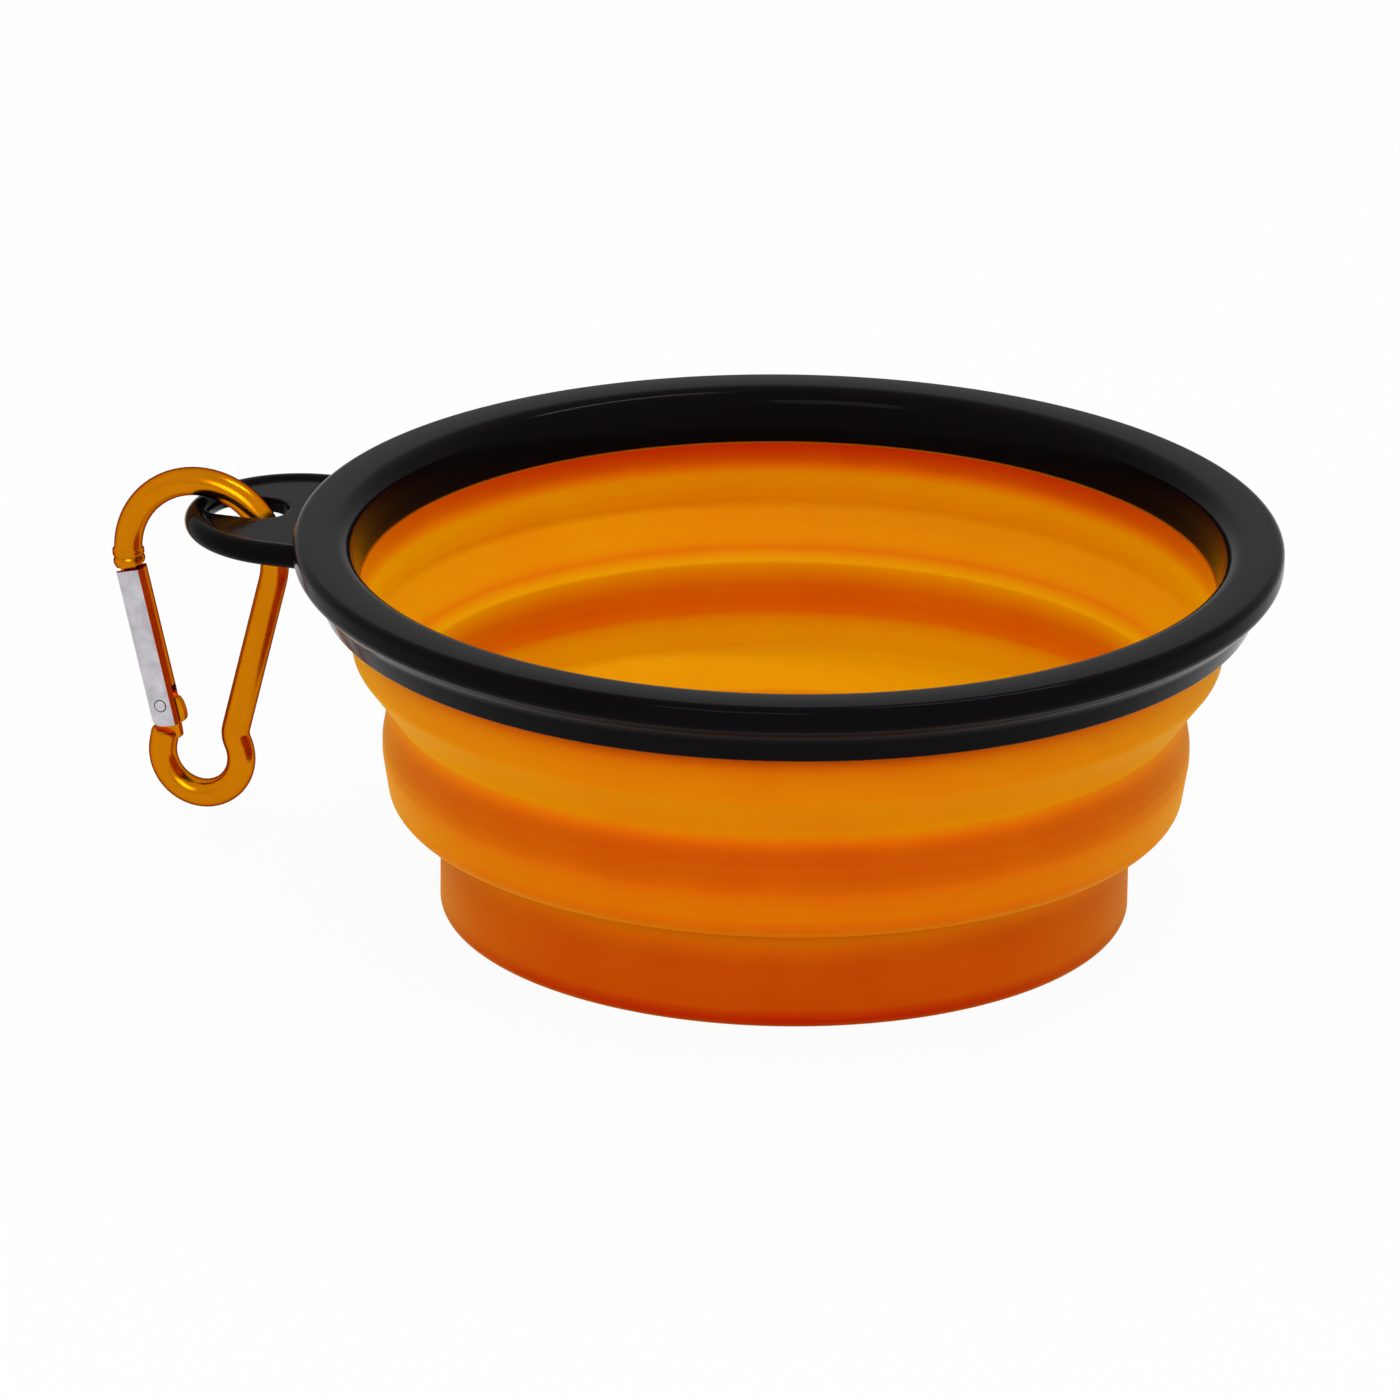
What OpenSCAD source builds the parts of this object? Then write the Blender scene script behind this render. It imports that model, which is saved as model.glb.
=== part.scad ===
// Collapsible travel bowl for a pet: a folding silicone bowl held in a hard rim, with a
// carabiner hung in the rim's ear. Millimetres, +Z up, origin at the centre of the
// underside. The ear and the carabiner point along -X.

/* [Silicone bowl] */
// How far the lower shoulder steps in from the middle wall to the base cup
base_step = 7.7; // [6.5:0.1:9]
// Height of the base cup, up to the lower fold line
cup_h = 13.2; // [11:0.1:16]
// Rise of the lower shoulder, which turns inside out when the bowl is folded
lower_fold_h = 8.4; // [7:0.1:10]
// How far the upper shoulder steps in from the top wall to the upper fold line
upper_step = 4.9; // [4:0.1:6]
// Height of the middle wall
middle_h = 7.4; // [6:0.1:9]
// How far the middle wall leans in towards the upper fold line
middle_lean = 0.9; // [0.4:0.1:1.4]
// Rise of the upper shoulder, which turns inside out when the bowl is folded
upper_fold_h = 7.9; // [6.5:0.1:9.5]
// Height of the top wall below the rim
top_wall_h = 5.9; // [4:0.1:9]
// How far the top wall leans out towards the rim
top_lean = 0.7; // [0.3:0.1:1.2]
// Thickness of the floor
floor_t = 2.4; // [1.6:0.1:4]
// Thickness of the standing walls
wall_t = 1.7; // [1.4:0.1:2]
// Thickness of the shoulders that fold
web_t = 1.3; // [1:0.1:1.4]
// Thickness of the silicone at a fold line
fold_t = 1.2; // [0.9:0.1:1.3]
// Rounding of the base's lower edge
base_edge_r = 1.4; // [0.6:0.1:2]
// Rounding inside, between floor and wall
floor_fillet_r = 4; // [2:0.5:7]
// Rise of the lower shoulder's underside, in degrees
lower_rise_deg = 17; // [12:1:22]
// Lean of the lower shoulder's side, in degrees
lower_lean_deg = 9; // [5:1:12]
// Rounding between the lower shoulder's underside and its side
lower_bend_r = 2.4; // [1.6:0.1:3]
// Rounding between the lower shoulder's side and the middle wall
corner_r = 3.2; // [2:0.1:4]
// Rounding between the upper shoulder and the top wall
upper_bend_r = 1.6; // [1:0.1:2]
// Width of the lip that the rim holds
lip_w = 2; // [1.6:0.1:2.4]
// Height of the lip inside the rim
lip_h = 4; // [3:0.1:4.6]

/* [Rim] */
// Outer radius of the rim
rim_r = 65; // [58:0.5:72]
// Width of the rim, from its outer edge to the throat
rim_w = 8.8; // [8.2:0.1:10]
// Height of the rim, from the skirt's lower edge to the crown
rim_h = 8.6; // [8.2:0.1:11]
// Height of the round crown above the skirt
crown_h = 4.7; // [4.4:0.1:5]
// How far the throat opens out towards the crown
throat_flare = 1.3; // [0.8:0.1:1.8]
// Height of the throat's lower edge above the skirt's lower edge
throat_rise = 1.6; // [1.2:0.1:2]
// Thickness of the inner wall that covers the silicone lip
inner_wall_t = 1.15; // [0.9:0.05:1.3]
// Thickness of the skirt at its lower edge
skirt_t = 1.6; // [1.2:0.1:1.8]
// Taper of the skirt over its height
skirt_taper = 1.6; // [1:0.1:2]
// Rounding of the crown's outer top edge
crown_edge_r = 2; // [1.2:0.1:2.2]
// Rounding of the crown's inner top edge
crown_inner_r = 1.2; // [0.6:0.1:1.6]
// Clearance round the silicone lip
lip_clear = 0.1; // [0.05:0.05:0.15]

/* [Ear] */
// Outer radius of the ear's round end
ear_r = 15.4; // [13:0.1:16.5]
// Distance of the ear's centre beyond the rim
ear_out = 3; // [2.5:0.1:5]
// Height of the bead's underside above the rim's underside
ear_lift = 0.8; // [0.4:0.1:1.2]
// Radius of the round bead along the ear's edge
bead_r = 1.6; // [1.4:0.05:1.7]
// Thickness of the flat web inside the bead
ear_web_t = 2; // [1.4:0.1:2.4]
// Width of the hole
hole_w = 8; // [7:0.1:12]
// Land between the rim and the hole
hole_land = 4.8; // [3:0.1:5.4]

/* [Carabiner] */
// Diameter of the rod
rod_d = 3.8; // [3.4:0.1:4]
// Radius of the top bend at the rod's centre
top_bend_r = 10.4; // [10:0.1:11.5]
// Radius of the bottom bend at the rod's centre
bottom_bend_r = 5.6; // [5.2:0.1:6.2]
// Distance between the centres of the two bends
bend_gap = 28.3; // [27:0.1:30]
// Lean of the spine and of the gate, in degrees
side_lean_deg = 13.7; // [13:0.1:14.4]
// Radius of the neck between spine and bottom bend
neck_bend_r = 3; // [2:0.1:4]
// Angle at which the loop hangs out from the ear, in degrees
hang_deg = 1.7; // [0:0.1:8]
// Gap between the rod and the ear's bead
hang_gap = 0.2; // [0.2:0.05:0.5]
// Swell of the two ridges round the nose
collar_h = 0.25; // [0.1:0.05:0.3]
// Length of the ridged part of the nose
collar_l = 2.5; // [2:0.1:3]
// Angle by which the bottom bend runs on past the horizontal on the gate's side
arm_deg = 10; // [6:1:14]
// Straight length between the bottom bend and the gate
arm_l = 2; // [1.6:0.1:2.2]
// Thickness of the flat tongues that reach into the gate
tongue_t = 1.2; // [1:0.1:1.3]
// Length of the tongue at the nose
nose_l = 3.2; // [2.6:0.1:4]

/* [Gate] */
// Diameter of the gate before its cheeks are cut flat
gate_d = 4.2; // [4.1:0.05:4.4]
// Thickness across the flat cheeks
gate_t = 3; // [2.8:0.1:3.4]
// Gap between the nose and the gate's end
nose_gap = 0.6; // [0.5:0.1:1.2]
// Height of the rivet above the arm's end, along the gate
hinge_rise = 3.614; // [3.4:0.05:4]
// Gap between the gate's tail and the arm's end, along the gate
tail_gap = 0.714; // [0.6:0.05:0.9]
// Rounding of the gate's tail
tail_r = 0.9; // [0.7:0.1:1.2]
// Clearance on each side of a tongue
tongue_clear = 0.15; // [0.1:0.05:0.2]
// Room in the fork between the body's tongue and the bore, where the plunger's foot shows
fork_room = 0.6; // [0.4:0.1:1]
// Inner wall that stops the gate against the nose tongue
stop_wall = 0.9; // [0.7:0.1:1]
// Diameter of the rivet
rivet_d = 1.6; // [1.3:0.1:1.7]
// Height of the rivet's peened heads above the cheeks
rivet_head_h = 0.12; // [0.08:0.02:0.2]
// Running clearance of the tongue on the rivet
rivet_clear = 0.05; // [0.03:0.01:0.08]
// Interference of the rivet in the gate's cheeks
rivet_press = 0.02; // [0.01:0.005:0.03]
// Diameter of the spring's bore
bore_d = 2; // [1.9:0.05:2.1]
// Depth of the spring's bore above the fork
bore_l = 10.4; // [9:0.1:11]
// Length of the plunger
plunger_l = 2.2; // [1.8:0.1:2.6]
// Running clearance of the plunger in the bore
plunger_clear = 0.08; // [0.05:0.01:0.1]
// Gap between the plunger and the body's tongue when the gate is shut
plunger_gap = 0.1; // [0.08:0.01:0.12]
// Diameter of the spring's wire
wire_d = 0.32; // [0.25:0.01:0.4]
// Number of turns in the spring
spring_turns = 8; // [6:1:9]

/* [Hidden] */
$fn = 96;
// How far a cutting solid runs past the face that it cuts
overrun = 1;
// Points on a rounded corner of a profile
corner_steps = 7;
// Points on a round edge of the rim
edge_steps = 9;
// Facets round the bead, the gate, the rivet and the bore
bead_sides = 48;
gate_sides = 64;
rivet_sides = 48;
bore_sides = 32;

// Heights of the fold lines and of the rim
lower_top_z = cup_h + lower_fold_h;
middle_top_z = lower_top_z + middle_h;
upper_top_z = middle_top_z + upper_fold_h;
rim_z = upper_top_z + top_wall_h;
crown_z = rim_z + rim_h;
throat_z = rim_z + throat_rise;

// Radii that follow from the rim's, from the throat down to the base
throat_r = rim_r - rim_w;
top_r = throat_r + wall_t;
upper_r = top_r - top_lean;
fold_r = upper_r - upper_step;
middle_r = fold_r + middle_lean;
base_r = middle_r - base_step;
// Shares of a stretch's height at which the profile bends over
bulge_share = 0.25;
knee_share = 0.167;
lip_in_r = throat_r + inner_wall_t + lip_clear;
lip_out_r = lip_in_r + lip_w;
lip_z = throat_z + lip_h;
// The lip's inner face leans with the throat, so the wall between them keeps its thickness
lip_lean = throat_flare * lip_h / (crown_z - crown_inner_r - throat_z);
channel_out_r = lip_out_r + lip_clear;
skirt_r = channel_out_r + skirt_t;
crown_low_z = crown_z - crown_h;
crown_low_share = 0.15;
crown_edge_deg = -30;
crown_in_r = throat_r + throat_flare;

// The ear's own places, measured from the bowl's axis
ear_c = rim_r + ear_out;
bead_c = ear_r - bead_r;
bar_q = ear_c + bead_c;
bar_z = rim_z + ear_lift + bead_r;
hole_in_q = rim_r + hole_land;
hole_r = hole_w / 2;
ear_root_r = channel_out_r + skirt_t / 2;

// The carabiner's places, in the plane of its loop
rod_r = rod_d / 2;
loop_drop = top_bend_r - rod_r - bead_r - hang_gap;
loop_q = bar_q + loop_drop * sin(hang_deg);
loop_z = bar_z - loop_drop * cos(hang_deg);
spine_d = top_bend_r - bend_gap * sin(side_lean_deg);
neck_d = spine_d + neck_bend_r;
neck_t = sqrt(pow(bottom_bend_r + neck_bend_r, 2) - pow(neck_d, 2));
neck_deg = atan2(neck_t, neck_d);
nose_p = top_bend_r * [cos(side_lean_deg), -sin(side_lean_deg)];
arm_start_p = [bottom_bend_r * cos(arm_deg), bottom_bend_r * sin(arm_deg) - bend_gap];
arm_end_p = arm_start_p + arm_l * [-sin(arm_deg), cos(arm_deg)];
gate_dir = [sin(side_lean_deg), cos(side_lean_deg)];
gate_reach = (nose_p - arm_end_p) * gate_dir - hinge_rise;
gate_tail = hinge_rise - tail_gap;
pivot_p = nose_p - gate_reach * gate_dir;
rod_sides = 20;
top_steps = 30;
neck_steps = 7;
bottom_steps = 28;
// Shares of the collar's length and swell, from the nose's end face upwards
collar_shares = [[0, 0.2], [0.12, 1], [0.36, 1], [0.5, 0.25], [0.64, 1], [0.86, 1], [1, 0]];
// Shares of the rod's radius, for the rounded shoulder below the gate
shoulder_shares = [[0.24, 1], [0.1, 0.95], [0, 0.8]];

// The gate's places, along its own axis from the rivet
gate_r = gate_d / 2;
gate_top = gate_reach - nose_gap;
slot_w = tongue_t + 2 * tongue_clear;
cam_share = 0.81;
cam_h = cam_share * gate_r;
fork_top = cam_h + plunger_gap + fork_room;
nose_slot_l = nose_l - nose_gap + 2 * tongue_clear;
nose_back = gate_r - stop_wall - 2 * tongue_clear;
plunger_r = bore_d / 2 - plunger_clear;
plunger_low = cam_h + plunger_gap;
spring_r = plunger_r - wire_d / 2;
spring_low = plunger_low + plunger_l + wire_d;
spring_high = fork_top + bore_l - wire_d;
spring_sides = 6;
spring_rings = 8;
// Share of the rivet's radius that stays level on its peened head
rivet_crown_share = 0.5;
// Outline of the body's tongue round the rivet, in shares of the gate's radius
tongue_shares = [[0.62, -2.2], [0.84, -0.7], [0.84, 0.15], [0.5, cam_share], [-0.56, cam_share],
                 [-1.03, 0.42], [-1.24, 0.02], [-1.32, -0.48], [-1.28, -0.98], [-1.08, -1.4],
                 [-0.8, -2.4]];

// A unit vector at an angle, and a list in reverse
function dir(deg) = [cos(deg), sin(deg)];
function turned(list) = [for (i = [len(list) - 1:-1:0]) list[i]];

// Points of an arc about c from angle a to angle b
function arc(c, r, a, b, n) = [for (i = [0:n]) c + r * dir(a + (b - a) * i / n)];

// The arc that rounds the corner p between the points before and after it
function rounded(before, p, after, r, n) =
    let (u = (before - p) / norm(before - p),
         v = (after - p) / norm(after - p),
         half = acos(u * v) / 2,
         mid = (u + v) / norm(u + v),
         c = p + mid * r / sin(half),
         start = p + u * r / tan(half) - c,
         end = p + v * r / tan(half) - c,
         a = atan2(start[1], start[0]),
         b = atan2(end[1], end[0]),
         turn = b - a > 180 ? b - a - 360 : (b - a < -180 ? b - a + 360 : b - a))
    arc(c, r, a, a + turn, n);

// A curve beside a profile, at the distance t to its inner side
function beside(path, t) =
    [for (i = [1:len(path) - 2])
        let (d = path[i + 1] - path[i - 1], n = [-d[1], d[0]] / norm(d))
        path[i] + t * n];

// A wall between an outer profile, listed upwards, and the curve beside it; its two end
// faces lie flat, so that the next stretch of wall seats on them
module wall_between(path, t, low_t, high_t) {
    first = path[0];
    last = path[len(path) - 1];
    polygon(concat(path, [last - [high_t, 0]], turned(beside(path, t)), [first - [low_t, 0]]));
}

module base_cup() {
    inner_r = base_r - wall_t;
    neck_z = cup_h - wall_t;
    outline = concat(
        [[0, 0]],
        arc([base_r - base_edge_r, base_edge_r], base_edge_r, -90, 0, corner_steps),
        [[base_r, cup_h], [base_r - fold_t, cup_h], [inner_r, neck_z]],
        arc([inner_r - floor_fillet_r, floor_t + floor_fillet_r], floor_fillet_r, 0, -90,
            corner_steps),
        [[0, floor_t]]);
    color("darkorange")
        rotate_extrude() polygon(outline);
}

// The lower shoulder: a nearly level underside, a bend, and a side that leans out
module lower_fold_web() {
    low = [base_r, cup_h];
    high = [middle_r, lower_top_z];
    // Where the underside's line meets the side's line
    run = ((high[0] - low[0]) - lower_fold_h * tan(lower_lean_deg))
        / (1 - tan(lower_rise_deg) * tan(lower_lean_deg));
    knee = low + run * [1, tan(lower_rise_deg)];
    path = concat([low], rounded(low, knee, high, lower_bend_r, corner_steps), [high]);
    color("orange")
        rotate_extrude() wall_between(path, web_t, fold_t, wall_t);
}

// The middle wall leans in towards the upper fold line
module middle_band() {
    low = [middle_r, lower_top_z];
    high = [fold_r, middle_top_z];
    bulge = [middle_r, lower_top_z + bulge_share * middle_h];
    path = concat([low], rounded(low, bulge, high, corner_r, corner_steps), [high]);
    color("darkorange")
        rotate_extrude() wall_between(path, wall_t, wall_t, fold_t);
}

// The upper shoulder: a cone that rounds over into the top wall
module upper_fold_web() {
    low = [fold_r, middle_top_z];
    high = [upper_r, upper_top_z];
    knee = [upper_r, upper_top_z - knee_share * upper_fold_h];
    path = concat([low], rounded(low, knee, high, upper_bend_r, corner_steps), [high]);
    color("orange")
        rotate_extrude() wall_between(path, web_t, fold_t, wall_t);
}

// The top wall, and the lip that the rim holds
module top_band() {
    outline = [
        [upper_r, upper_top_z],
        [top_r, rim_z],
        [lip_out_r, throat_z - wall_t / 2],
        [lip_out_r, lip_z],
        [lip_in_r + lip_lean, lip_z],
        [lip_in_r, throat_z - lip_clear],
        [throat_r, throat_z - lip_clear],
        [upper_r - wall_t, upper_top_z]];
    color("darkorange")
        rotate_extrude() polygon(outline);
}

// Section of the rim: a round crown on a tapered skirt, open below for the lip
module rim_section() {
    step_r = skirt_r + skirt_taper;
    under_r = (rim_r - step_r) / 2;
    channel_in_r = lip_in_r - lip_clear;
    polygon(concat(
        [[skirt_r, rim_z], [step_r, crown_low_z]],
        [[step_r + under_r, crown_low_z + crown_low_share * crown_h]],
        arc([rim_r - crown_edge_r, crown_z - crown_edge_r], crown_edge_r, crown_edge_deg, 90,
            edge_steps),
        arc([crown_in_r + crown_inner_r, crown_z - crown_inner_r], crown_inner_r, 90, 180,
            edge_steps),
        [[throat_r, throat_z],
         [channel_in_r, throat_z],
         [channel_in_r + lip_lean, lip_z + lip_clear],
         [channel_out_r, lip_z + lip_clear],
         [channel_out_r, rim_z]]));
}

// The hole's outline: two round ends joined by straight sides, in line with the ear
module hole_outline() {
    far = bar_q - hole_r;
    near = hole_in_q + hole_r;
    translate([-far, 0]) circle(hole_r);
    translate([-near, 0]) circle(hole_r);
    translate([-far, -hole_r]) square([far - near, hole_w]);
}

// The ear: a round bead along its edge and a thinner web with the hole
module ear() {
    difference() {
        union() {
            translate([-ear_c, 0, bar_z])
                rotate([0, 0, 90])
                    rotate_extrude(angle = 180) translate([bead_c, 0]) circle(bead_r, $fn = bead_sides);
            for (side = [-1, 1])
                translate([-ear_c, side * bead_c, bar_z])
                    rotate([0, 90, 0]) cylinder(h = ear_r, r = bead_r, $fn = bead_sides);
            translate([0, 0, bar_z - ear_web_t / 2])
                linear_extrude(ear_web_t)
                    difference() {
                        union() {
                            translate([-ear_c, 0]) circle(bead_c);
                            translate([-ear_c, -bead_c]) square([ear_r, 2 * bead_c]);
                        }
                        hole_outline();
                    }
        }
        translate([0, 0, rim_z - overrun]) cylinder(h = rim_h, r = ear_root_r);
    }
}

module rim_ring() {
    color("dimgray")
        union() {
            rotate_extrude() rim_section();
            ear();
        }
}

// Places a thing from the loop's plane, where x points out from the bowl, into the part
module in_loop() {
    translate([-loop_q, 0, loop_z]) rotate([0, 0, 180]) children();
}

// Places a thing from the gate's own frame, with z along the gate, into the part
module in_gate() {
    in_loop()
        translate([pivot_p[0], 0, pivot_p[1]]) rotate([0, side_lean_deg, 0]) children();
}

// Stations along the rod: place in the loop's plane, heading and radius
function on_arc(c, r, a, b, n, rod) =
    [for (i = [0:n])
        let (deg = a + (b - a) * i / n)
        [c + r * dir(deg), deg + (b > a ? 90 : -90), rod]];

function rod_stations() =
    let (foot = [0, -bend_gap],
         out_deg = 180 + side_lean_deg,
         collar_deg = collar_l / top_bend_r * 180 / PI,
         neck_c = foot + neck_d * dir(out_deg) + neck_t * dir(out_deg - 90))
    concat(
        [for (s = collar_shares)
            let (deg = s[0] * collar_deg - side_lean_deg)
            [top_bend_r * dir(deg), deg + 90, rod_r + s[1] * collar_h]],
        on_arc([0, 0], top_bend_r, collar_deg, out_deg, top_steps, rod_r),
        on_arc(neck_c, neck_bend_r, side_lean_deg, side_lean_deg - neck_deg, neck_steps, rod_r),
        on_arc(foot, bottom_bend_r, out_deg - neck_deg, 360 + arm_deg, bottom_steps, rod_r),
        [for (s = shoulder_shares)
            [arm_end_p - s[0] * rod_r * dir(arm_deg + 90), arm_deg + 90, s[1] * rod_r]]);

// A round rod through all its stations, closed at both ends
module swept_rod(stations, sides) {
    points = [for (s = stations, k = [0:sides - 1])
        let (across = s[2] * cos(360 * k / sides) * dir(s[1] + 90))
        [s[0][0] + across[0], s[2] * sin(360 * k / sides), s[0][1] + across[1]]];
    last = (len(stations) - 1) * sides;
    quads = [for (i = [0:len(stations) - 2], k = [0:sides - 1])
        let (a = i * sides + k, b = i * sides + (k + 1) % sides)
        [a, b, b + sides, a + sides]];
    faces = concat(
        [for (q = quads) [q[0], q[1], q[2]]],
        [for (q = quads) [q[0], q[2], q[3]]],
        [[for (k = [sides - 1:-1:0]) k]],
        [[for (k = [0:sides - 1]) last + k]]);
    polyhedron(points, faces);
}

// The body's tongue: the gate turns on it, and its flat top seats the plunger
module hinge_tongue() {
    rotate([90, 0, 0])
        linear_extrude(tongue_t, center = true) polygon(gate_r * tongue_shares);
}

// The nose tongue reaches into the gate's end and stops it
module nose_tongue() {
    translate([-nose_back, -tongue_t / 2, gate_reach - nose_l])
        cube([2 * nose_back, tongue_t, nose_l + rod_r / 2]);
}

module carabiner_body() {
    color("orange")
        difference() {
            union() {
                in_loop() swept_rod(rod_stations(), rod_sides);
                in_gate() hinge_tongue();
                in_gate() nose_tongue();
            }
            in_gate()
                rotate([90, 0, 0])
                    cylinder(h = gate_d, r = rivet_d / 2 + rivet_clear, center = true,
                             $fn = rivet_sides);
        }
}

// The gate's side view, rounded at the tail
module gate_outline() {
    path = concat(
        arc([-gate_r + tail_r, -gate_tail + tail_r], tail_r, 180, 270, corner_steps),
        arc([gate_r - tail_r, -gate_tail + tail_r], tail_r, 270, 360, corner_steps),
        [[gate_r, gate_top], [-gate_r, gate_top]]);
    polygon(path);
}

module carabiner_gate() {
    color("silver")
        in_gate()
            difference() {
                intersection() {
                    translate([0, 0, -gate_tail - overrun])
                        cylinder(h = gate_tail + gate_top + 2 * overrun, r = gate_r,
                                 $fn = gate_sides);
                    rotate([90, 0, 0]) linear_extrude(gate_t, center = true) gate_outline();
                }
                // The fork that straddles the body's tongue
                translate([-gate_d, -slot_w / 2, -gate_tail - overrun])
                    cube([2 * gate_d, slot_w, gate_tail + overrun + fork_top]);
                // The slot for the nose tongue, open on the outer side
                translate([-gate_r + stop_wall, -slot_w / 2, gate_top - nose_slot_l])
                    cube([gate_d, slot_w, nose_slot_l + overrun]);
                // The bore that holds plunger and spring
                cylinder(h = fork_top + bore_l, r = bore_d / 2, $fn = bore_sides);
                rotate([90, 0, 0])
                    cylinder(h = gate_d, r = rivet_d / 2 - rivet_press, center = true,
                             $fn = rivet_sides);
            }
}

// The rivet runs through both cheeks and is peened to low heads
module gate_rivet() {
    half = gate_t / 2;
    crown_r = rivet_crown_share * rivet_d / 2;
    color("gainsboro")
        in_gate()
            rotate([90, 0, 0])
                rotate_extrude($fn = rivet_sides)
                    polygon([
                        [0, -half - rivet_head_h],
                        [crown_r, -half - rivet_head_h],
                        [rivet_d / 2, -half],
                        [rivet_d / 2, half],
                        [crown_r, half + rivet_head_h],
                        [0, half + rivet_head_h]]);
}

// The plunger has a shallow cone at its upper end, which centres the spring
module gate_plunger() {
    color("gray")
        in_gate()
            translate([0, 0, plunger_low])
                rotate_extrude($fn = bore_sides)
                    polygon([
                        [0, 0],
                        [plunger_r, 0],
                        [plunger_r, plunger_l],
                        [spring_r - wire_d, plunger_l],
                        [0, plunger_l + wire_d]]);
}

// The spring: a helix of round wire between plunger and bore end
module gate_spring() {
    steps = spring_turns * spring_rings;
    rise = spring_high - spring_low;
    pitch_deg = atan2(rise / spring_turns, 2 * PI * spring_r);
    points = [for (i = [0:steps], k = [0:spring_sides - 1])
        let (deg = 360 * i / spring_rings,
             side = 360 * k / spring_sides,
             out = [cos(deg), sin(deg), 0],
             up = [sin(deg) * sin(pitch_deg), -cos(deg) * sin(pitch_deg), cos(pitch_deg)])
        (spring_r * out) + [0, 0, spring_low + rise * i / steps]
            + wire_d / 2 * (cos(side) * out + sin(side) * up)];
    last = steps * spring_sides;
    quads = [for (i = [0:steps - 1], k = [0:spring_sides - 1])
        let (a = i * spring_sides + k, b = i * spring_sides + (k + 1) % spring_sides)
        [a, b, b + spring_sides, a + spring_sides]];
    faces = concat(
        [for (q = quads) [q[0], q[1], q[2]]],
        [for (q = quads) [q[0], q[2], q[3]]],
        [[for (k = [spring_sides - 1:-1:0]) k]],
        [[for (k = [0:spring_sides - 1]) last + k]]);
    color("lightgray")
        in_gate() polyhedron(points, faces);
}

base_cup();
lower_fold_web();
middle_band();
upper_fold_web();
top_band();
rim_ring();
carabiner_body();
carabiner_gate();
gate_rivet();
gate_plunger();
gate_spring();
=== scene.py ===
# %% [markdown]
# This lesson builds a folding travel bowl for a pet: a silicone bowl held in a hard rim,
# with a small carabiner hung in the rim's ear. The sizes come from the imported CAD model,
# which is loaded first and is never moved. The pieces made here take the place of its
# nodes, so that a round rod is round and the silicone's folds have their real shape.

# %% Load the imported model
import math

import bmesh
import bpy
from mathutils import Matrix, Vector


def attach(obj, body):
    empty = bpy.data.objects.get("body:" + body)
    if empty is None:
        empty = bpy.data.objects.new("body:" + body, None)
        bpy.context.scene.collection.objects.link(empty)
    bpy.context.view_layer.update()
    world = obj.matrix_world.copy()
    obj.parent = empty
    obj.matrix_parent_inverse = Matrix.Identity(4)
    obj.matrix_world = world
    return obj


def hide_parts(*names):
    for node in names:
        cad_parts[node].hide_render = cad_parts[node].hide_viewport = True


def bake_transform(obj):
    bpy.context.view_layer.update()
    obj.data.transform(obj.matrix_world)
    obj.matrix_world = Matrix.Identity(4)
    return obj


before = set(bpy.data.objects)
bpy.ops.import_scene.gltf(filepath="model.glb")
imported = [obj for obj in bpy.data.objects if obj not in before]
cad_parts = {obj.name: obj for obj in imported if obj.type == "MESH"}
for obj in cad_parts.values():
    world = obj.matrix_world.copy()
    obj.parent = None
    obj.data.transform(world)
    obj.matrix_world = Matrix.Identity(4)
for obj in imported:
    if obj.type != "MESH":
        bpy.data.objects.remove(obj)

MM = 0.001
UP = Vector((0, 0, 1))
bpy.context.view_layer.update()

# %% [markdown]
# The photograph was taken from about 1.6 m away with a long lens, so the rim's ellipse is
# nearly free of perspective. The camera comes first, because every later choice is judged
# through it. Its place is an azimuth and an elevation round the bowl. A small pan, tilt and
# roll then put the bowl where it lies in the photograph's frame.

# %% Camera
CAMERA_DISTANCE = 1.6
CAMERA_TARGET = Vector((0, 0, 0.030))
CAMERA_AZIMUTH, CAMERA_ELEVATION = math.radians(17.3), math.radians(20.583)
CAMERA_PAN, CAMERA_TILT, CAMERA_ROLL = map(math.radians, (-0.408, -0.066, 0.808))
SENSOR_WIDTH, LENS = 36, 312.474
NEAREST, FARTHEST = 0.01, 20


def aim_camera():
    """Adds the camera and turns it as the photographer held it."""
    back = Vector((math.sin(CAMERA_AZIMUTH) * math.cos(CAMERA_ELEVATION),
                   -math.cos(CAMERA_AZIMUTH) * math.cos(CAMERA_ELEVATION),
                   math.sin(CAMERA_ELEVATION)))
    right = UP.cross(back).normalized()
    up = back.cross(right)
    ahead = (math.tan(CAMERA_PAN) * right + math.tan(CAMERA_TILT) * up - back).normalized()
    right = ahead.cross(up).normalized()
    up = right.cross(ahead)
    level, steep = math.cos(CAMERA_ROLL), math.sin(CAMERA_ROLL)
    axes = Matrix((level * right + steep * up, level * up - steep * right, -ahead))
    bpy.ops.object.camera_add(location=CAMERA_TARGET + CAMERA_DISTANCE * back)
    camera = bpy.context.object
    camera.rotation_euler = axes.transposed().to_euler()
    camera.data.sensor_width, camera.data.lens = SENSOR_WIDTH, LENS
    camera.data.clip_start, camera.data.clip_end = NEAREST, FARTHEST
    bpy.context.scene.camera = camera
    return camera


camera = aim_camera()
print("Camera at", [round(v, 3) for v in camera.location], "with a lens of", LENS, "mm")

# %% [markdown]
# Blender's own tools act on whatever is selected, and loading the model leaves all its
# nodes selected. So each step begins by clearing the selection, and vertices, edges or
# faces are then picked in code by their place.

# %% Picking by place
SAME_PLACE = 0.01 * MM


def only(piece):
    """Makes one piece the only selected object, and the active one."""
    if bpy.context.object and bpy.context.object.mode != "OBJECT":
        bpy.ops.object.mode_set(mode="OBJECT")
    bpy.ops.object.select_all(action="DESELECT")
    if piece:
        piece.select_set(True)
        bpy.context.view_layer.objects.active = piece
    return piece


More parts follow.
